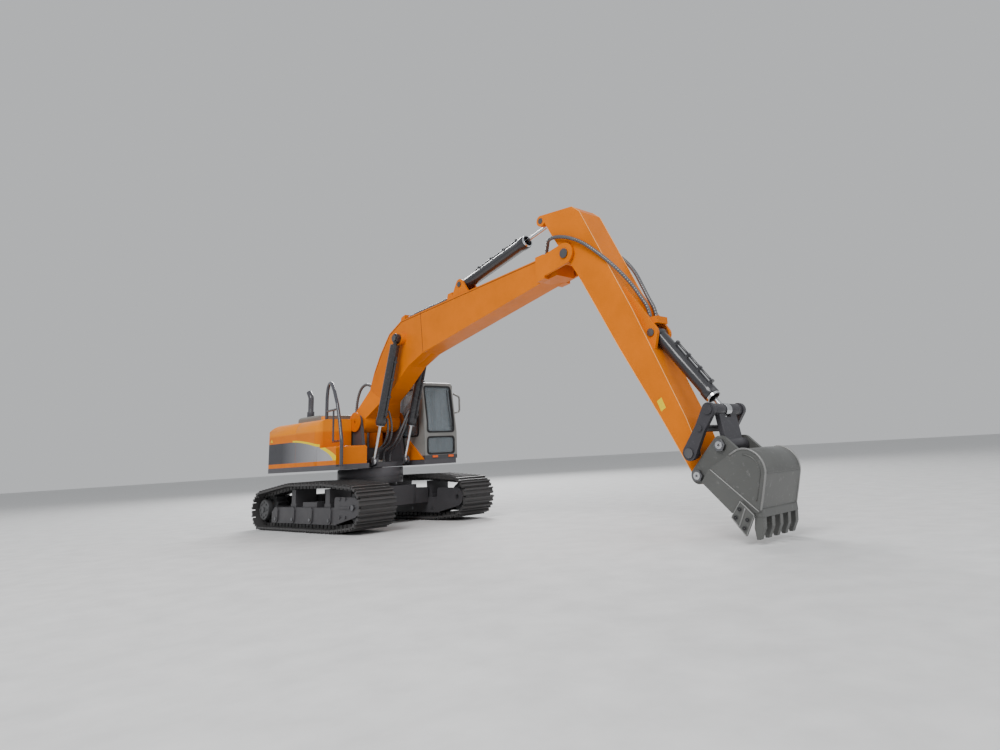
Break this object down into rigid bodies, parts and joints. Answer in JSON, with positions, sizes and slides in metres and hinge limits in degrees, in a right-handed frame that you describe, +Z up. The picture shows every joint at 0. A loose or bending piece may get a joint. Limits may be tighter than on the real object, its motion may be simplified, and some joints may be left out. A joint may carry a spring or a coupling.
{
  "type": "remote control excavator model",
  "caption": "Radio-controlled crawler excavator model with slewing house, cab, boom, arm, bucket linkage, rod-and-barrel cylinders, hoses and rubber-look tracks.",
  "frame": {"origin": "where the vertical slew axis meets the ground plane under the tracks", "axes": "+X the way the boom points at rest, +Y the cab side, +Z up, with the track shoes resting on Z = 0"},
  "size_m": [0.7108, 0.1968, 0.3205],
  "materials": {
    "track_rubber": "matte dark grey moulded track links",
    "undercarriage_grey": "matte dark grey",
    "wheel_grey": "satin dark grey",
    "gear_white": "natural white moulded gear plastic",
    "bright_steel": "polished",
    "deck_grey": "satin mid grey",
    "body_orange": "semi-gloss orange",
    "cover_grey": "satin grey",
    "black_plastic": "satin black",
    "cab_beige": "satin grey beige",
    "cab_glass": "tinted clear plastic",
    "barrel_dark": "satin near-black",
    "link_grey": "satin dark grey",
    "bucket_metal": "satin dark warm grey",
    "hose_black": "black"
  },
  "bodies": {
    "chassis": {"chassis_frame": "undercarriage_grey", "track_frame_left": "undercarriage_grey", "track_frame_right": "undercarriage_grey", "track_links_left": "track_rubber", "track_links_right": "track_rubber", "track_axles": "bright_steel", "travel_motors": "undercarriage_grey", "slew_ring_gear": "gear_white", "slew_retainer": "gear_white"},
    "house": {"house_deck": "deck_grey", "counterweight": "body_orange", "side_cover_right": "body_orange", "hood_cover": "body_orange", "engine_cover": "cover_grey", "exhaust_pipe": "black_plastic", "handrail": "black_plastic", "tank_box": "body_orange", "cab_shell": "cab_beige", "cab_glass": "cab_glass", "cab_seat": "black_plastic", "battery_pack": "black_plastic", "circuit_board": "black_plastic", "slew_motor": "black_plastic", "house_pins": "bright_steel", "house_hoses": "hose_black"},
    "boom": {"boom_shell_left": "body_orange", "boom_shell_right": "body_orange", "boom_pins": "bright_steel", "boom_hoses": "hose_black"},
    "arm": {"arm_shell_left": "body_orange", "arm_shell_right": "body_orange", "arm_pins": "bright_steel"},
    "rocker": {"rocker_arms": "link_grey"},
    "bucket": {"bucket_shell": "bucket_metal", "linkage_bolt": "bright_steel", "bucket_teeth": "bucket_metal", "side_cutters": "bucket_metal"},
    "arm_barrel": {"arm_barrel": "barrel_dark"},
    "arm_rod": {"arm_rod": "bright_steel"},
    "boom_barrel_left": {"boom_barrel_left": "barrel_dark"},
    "boom_barrel_right": {"boom_barrel_right": "barrel_dark"},
    "boom_rod_left": {"boom_rod_left": "bright_steel"},
    "boom_rod_right": {"boom_rod_right": "bright_steel"},
    "bucket_barrel": {"bucket_barrel": "barrel_dark"},
    "bucket_rod": {"bucket_rod": "bright_steel"},
    "h_link": {"h_link": "link_grey"},
    "idler_left": {"idler_left": "wheel_grey"},
    "idler_right": {"idler_right": "wheel_grey"},
    "power_switch": {"power_switch": "black_plastic"},
    "roller_left_1": {"roller_left_1": "wheel_grey"},
    "roller_left_2": {"roller_left_2": "wheel_grey"},
    "roller_left_3": {"roller_left_3": "wheel_grey"},
    "roller_left_4": {"roller_left_4": "wheel_grey"},
    "roller_right_1": {"roller_right_1": "wheel_grey"},
    "roller_right_2": {"roller_right_2": "wheel_grey"},
    "roller_right_3": {"roller_right_3": "wheel_grey"},
    "roller_right_4": {"roller_right_4": "wheel_grey"},
    "slew_pinion": {"slew_pinion": "gear_white"},
    "sprocket_left": {"sprocket_left": "wheel_grey"},
    "sprocket_right": {"sprocket_right": "wheel_grey"}
  },
  "joints": [
    {"name": "slew", "type": "hinge", "parent": "chassis", "child": "house", "pos_m": [0, 0, 0.07], "axis": [0, 0, 1], "range_deg": [-340, 340]},
    {"name": "slew_pinion_spin", "type": "hinge", "parent": "house", "child": "slew_pinion", "pos_m": [-0.0285, 0, 0.064], "axis": [0, 0, 1], "range_deg": [-1640, 1640]},
    {"name": "boom_lift", "type": "hinge", "parent": "house", "child": "boom", "pos_m": [0.015, 0, 0.1286], "axis": [0, -1, 0], "range_deg": [-30, 20], "deforming": ["house_hoses"]},
    {"name": "boom_barrel_left_turn", "type": "hinge", "parent": "boom", "child": "boom_barrel_left", "pos_m": [0.094, 0.0235, 0.227], "axis": [0, -1, 0], "range_deg": [-5.5, 8]},
    {"name": "boom_rod_left_turn", "type": "hinge", "parent": "house", "child": "boom_rod_left", "pos_m": [0.0437, 0.0235, 0.0776], "axis": [0, -1, 0], "range_deg": [-24, 16.5]},
    {"name": "boom_barrel_right_turn", "type": "hinge", "parent": "boom", "child": "boom_barrel_right", "pos_m": [0.094, -0.0235, 0.227], "axis": [0, -1, 0], "range_deg": [-5.5, 8]},
    {"name": "boom_rod_right_turn", "type": "hinge", "parent": "house", "child": "boom_rod_right", "pos_m": [0.0437, -0.0235, 0.0776], "axis": [0, -1, 0], "range_deg": [-24, 16.5]},
    {"name": "arm_swing", "type": "hinge", "parent": "boom", "child": "arm", "pos_m": [0.383, 0, 0.27], "axis": [0, -1, 0], "range_deg": [-45, 8], "deforming": ["boom_hoses"]},
    {"name": "arm_barrel_turn", "type": "hinge", "parent": "boom", "child": "arm_barrel", "pos_m": [0.204, 0, 0.2765], "axis": [0, -1, 0], "range_deg": [-1, 1.5]},
    {"name": "arm_rod_turn", "type": "hinge", "parent": "arm", "child": "arm_rod", "pos_m": [0.3495, 0, 0.3145], "axis": [0, -1, 0], "range_deg": [-9, 47]},
    {"name": "bucket_curl", "type": "hinge", "parent": "arm", "child": "bucket", "pos_m": [0.514, 0, 0.05], "axis": [0, -1, 0], "range_deg": [-60, 10]},
    {"name": "rocker_turn", "type": "hinge", "parent": "arm", "child": "rocker", "pos_m": [0.511, 0, 0.068], "axis": [0, -1, 0], "range_deg": [-56.5, 10.5]},
    {"name": "h_link_turn", "type": "hinge", "parent": "rocker", "child": "h_link", "pos_m": [0.5325, 0, 0.1015], "axis": [0, -1, 0], "range_deg": [-7, 37]},
    {"name": "bucket_barrel_turn", "type": "hinge", "parent": "arm", "child": "bucket_barrel", "pos_m": [0.474, 0, 0.175], "axis": [0, -1, 0], "range_deg": [-1.5, 0.5]},
    {"name": "bucket_rod_turn", "type": "hinge", "parent": "rocker", "child": "bucket_rod", "pos_m": [0.5325, 0, 0.1015], "axis": [0, -1, 0], "range_deg": [-10, 55]},
    {"name": "sprocket_left_spin", "type": "hinge", "parent": "chassis", "child": "sprocket_left", "pos_m": [-0.1085, 0.0735, 0.0245], "axis": [0, 1, 0], "continuous": true},
    {"name": "idler_left_spin", "type": "hinge", "parent": "chassis", "child": "idler_left", "pos_m": [0.109, 0.0735, 0.0285], "axis": [0, 1, 0], "continuous": true},
    {"name": "roller_left_1_spin", "type": "hinge", "parent": "chassis", "child": "roller_left_1", "pos_m": [-0.074, 0.0735, 0.0141], "axis": [0, 1, 0], "continuous": true},
    {"name": "roller_left_2_spin", "type": "hinge", "parent": "chassis", "child": "roller_left_2", "pos_m": [-0.03, 0.0735, 0.0141], "axis": [0, 1, 0], "continuous": true},
    {"name": "roller_left_3_spin", "type": "hinge", "parent": "chassis", "child": "roller_left_3", "pos_m": [0.014, 0.0735, 0.0141], "axis": [0, 1, 0], "continuous": true},
    {"name": "roller_left_4_spin", "type": "hinge", "parent": "chassis", "child": "roller_left_4", "pos_m": [0.058, 0.0735, 0.0141], "axis": [0, 1, 0], "continuous": true},
    {"name": "sprocket_right_spin", "type": "hinge", "parent": "chassis", "child": "sprocket_right", "pos_m": [-0.1085, -0.0735, 0.0245], "axis": [0, 1, 0], "continuous": true},
    {"name": "idler_right_spin", "type": "hinge", "parent": "chassis", "child": "idler_right", "pos_m": [0.109, -0.0735, 0.0285], "axis": [0, 1, 0], "continuous": true},
    {"name": "roller_right_1_spin", "type": "hinge", "parent": "chassis", "child": "roller_right_1", "pos_m": [-0.074, -0.0735, 0.0141], "axis": [0, 1, 0], "continuous": true},
    {"name": "roller_right_2_spin", "type": "hinge", "parent": "chassis", "child": "roller_right_2", "pos_m": [-0.03, -0.0735, 0.0141], "axis": [0, 1, 0], "continuous": true},
    {"name": "roller_right_3_spin", "type": "hinge", "parent": "chassis", "child": "roller_right_3", "pos_m": [0.014, -0.0735, 0.0141], "axis": [0, 1, 0], "continuous": true},
    {"name": "roller_right_4_spin", "type": "hinge", "parent": "chassis", "child": "roller_right_4", "pos_m": [0.058, -0.0735, 0.0141], "axis": [0, 1, 0], "continuous": true},
    {"name": "power_switch_slide", "type": "slide", "parent": "house", "child": "power_switch", "axis": [1, 0, 0], "range_m": [0, 0.004]}
  ],
  "couplings": [
    {"joint": "slew_pinion_spin", "follows": "slew", "ratio": -4.8},
    {"joint": "boom_barrel_left_turn", "follows": "boom_lift", "ratio": -0.2322},
    {"joint": "boom_rod_left_turn", "follows": "boom_lift", "ratio": 0.7677},
    {"joint": "boom_barrel_right_turn", "follows": "boom_lift", "ratio": -0.2322},
    {"joint": "boom_rod_right_turn", "follows": "boom_lift", "ratio": 0.7677},
    {"joint": "arm_barrel_turn", "follows": "arm_swing", "ratio": -0.0194},
    {"joint": "arm_rod_turn", "follows": "arm_swing", "ratio": -1.0193},
    {"joint": "rocker_turn", "follows": "bucket_curl", "ratio": 0.92},
    {"joint": "h_link_turn", "follows": "bucket_curl", "ratio": -0.597},
    {"joint": "bucket_barrel_turn", "follows": "bucket_curl", "ratio": 0.02},
    {"joint": "bucket_rod_turn", "follows": "bucket_curl", "ratio": -0.9},
    {"joint": "idler_left_spin", "follows": "sprocket_left_spin", "ratio": 1},
    {"joint": "roller_left_1_spin", "follows": "sprocket_left_spin", "ratio": 3.305},
    {"joint": "roller_left_2_spin", "follows": "sprocket_left_spin", "ratio": 3.305},
    {"joint": "roller_left_3_spin", "follows": "sprocket_left_spin", "ratio": 3.305},
    {"joint": "roller_left_4_spin", "follows": "sprocket_left_spin", "ratio": 3.305},
    {"joint": "idler_right_spin", "follows": "sprocket_right_spin", "ratio": 1},
    {"joint": "roller_right_1_spin", "follows": "sprocket_right_spin", "ratio": 3.305},
    {"joint": "roller_right_2_spin", "follows": "sprocket_right_spin", "ratio": 3.305},
    {"joint": "roller_right_3_spin", "follows": "sprocket_right_spin", "ratio": 3.305},
    {"joint": "roller_right_4_spin", "follows": "sprocket_right_spin", "ratio": 3.305}
  ]
}
